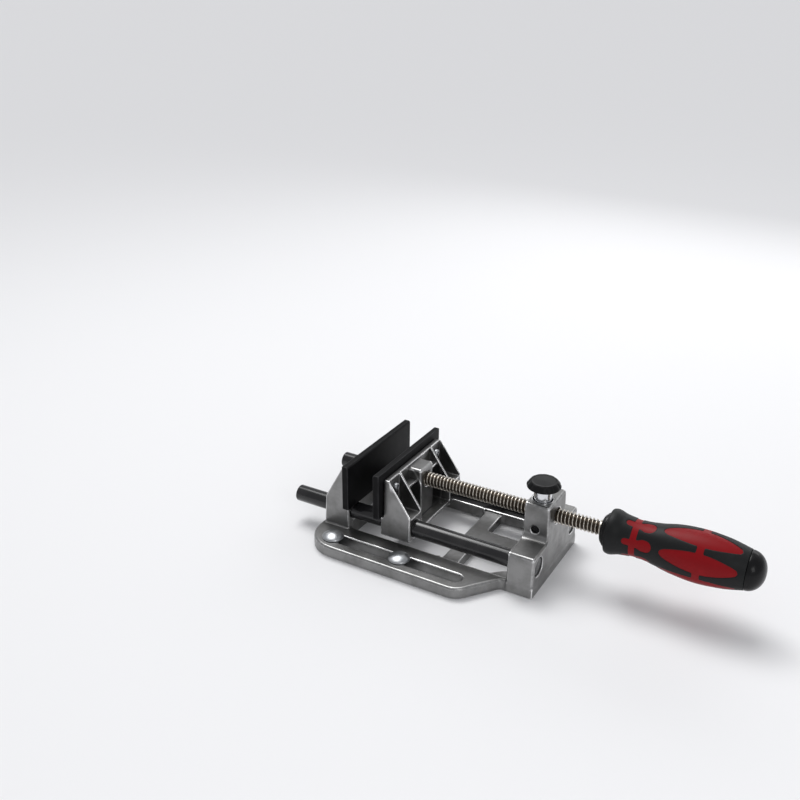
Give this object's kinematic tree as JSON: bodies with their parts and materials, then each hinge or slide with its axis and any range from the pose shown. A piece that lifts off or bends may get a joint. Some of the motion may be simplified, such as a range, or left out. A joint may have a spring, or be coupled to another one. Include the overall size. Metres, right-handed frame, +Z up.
{
  "type": "machine vise",
  "caption": "Low drill-table vise: slotted cast base, jaws with black plates, guide rods, screw with a two-colour handle, quick-release button.",
  "frame": {"origin": "middle of the cross web's underside, on the plane the base rests on", "axes": "+X along the screw towards the handle, +Y across the jaws, +Z up out of the base"},
  "size_m": [0.3741, 0.153, 0.0805],
  "materials": {
    "cast_aluminium": "satin die-cast, bead-blasted, with bright rounded edges",
    "black_rod": "blackened and oiled, glossy",
    "blackened_plate": "matte black oxide",
    "bright_steel": "machined",
    "chrome": "polished",
    "zinc": "zinc plated",
    "nut_bronze": "machined bronze",
    "black_plastic": "semi-gloss moulded",
    "black_grip": "soft matte over-mould",
    "red_core": "satin moulded"
  },
  "bodies": {
    "base": {"base_casting": "cast_aluminium", "guide_rod_near": "black_rod", "guide_rod_far": "black_rod", "fixed_jaw_plate": "blackened_plate", "fixed_jaw_screw_near": "zinc", "fixed_jaw_screw_far": "zinc", "carrier_stop_pin_near": "bright_steel", "carrier_stop_pin_far": "bright_steel", "spring_seat_plate": "bright_steel", "spring_seat_screw_near": "zinc", "spring_seat_screw_far": "zinc"},
    "moving_jaw": {"moving_jaw_casting": "cast_aluminium", "moving_jaw_plate": "blackened_plate", "moving_jaw_screw_near": "zinc", "moving_jaw_screw_far": "zinc", "spindle_keeper_pin_near": "bright_steel", "spindle_keeper_pin_far": "bright_steel", "thrust_washer": "bright_steel"},
    "spindle": {"spindle": "bright_steel", "handle_ferrule": "black_plastic", "handle_core": "red_core", "handle_sleeve": "black_grip", "handle_end_cap": "black_plastic"},
    "release": {"release_button": "black_plastic", "release_carrier": "chrome", "half_nut": "nut_bronze", "release_spring": "bright_steel"},
    "bolt_near_rear": {"hold_down_bolt_near_rear": "zinc"},
    "bolt_near_front": {"hold_down_bolt_near_front": "zinc"},
    "bolt_far_rear": {"hold_down_bolt_far_rear": "zinc"},
    "bolt_far_front": {"hold_down_bolt_far_front": "zinc"}
  },
  "joints": [
    {"name": "jaw_slide", "type": "slide", "parent": "base", "child": "moving_jaw", "axis": [1, 0, 0], "range_m": [-0.0232, 0.08]},
    {"name": "screw_turn", "type": "hinge", "parent": "moving_jaw", "child": "spindle", "pos_m": [0, 0, 0.05016], "axis": [1, 0, 0], "range_deg": [-2790, 9606]},
    {"name": "release_press", "type": "slide", "parent": "base", "child": "release", "axis": [0, 0, 1], "range_m": [-0.0035, 0], "stiffness_N_per_m": 600, "springref_m": 0.008, "deforming": ["release_spring"]},
    {"name": "bolt_near_rear_slide", "type": "slide", "parent": "base", "child": "bolt_near_rear", "axis": [1, 0, 0], "range_m": [0, 0.04]},
    {"name": "bolt_near_front_slide", "type": "slide", "parent": "base", "child": "bolt_near_front", "axis": [1, 0, 0], "range_m": [-0.04, 0.046]},
    {"name": "bolt_far_rear_slide", "type": "slide", "parent": "base", "child": "bolt_far_rear", "axis": [1, 0, 0], "range_m": [0, 0.04]},
    {"name": "bolt_far_front_slide", "type": "slide", "parent": "base", "child": "bolt_far_front", "axis": [1, 0, 0], "range_m": [-0.04, 0.046]}
  ],
  "couplings": [
    {"joint": "screw_turn", "follows": "jaw_slide", "rad_per_m": 2094.4}
  ]
}
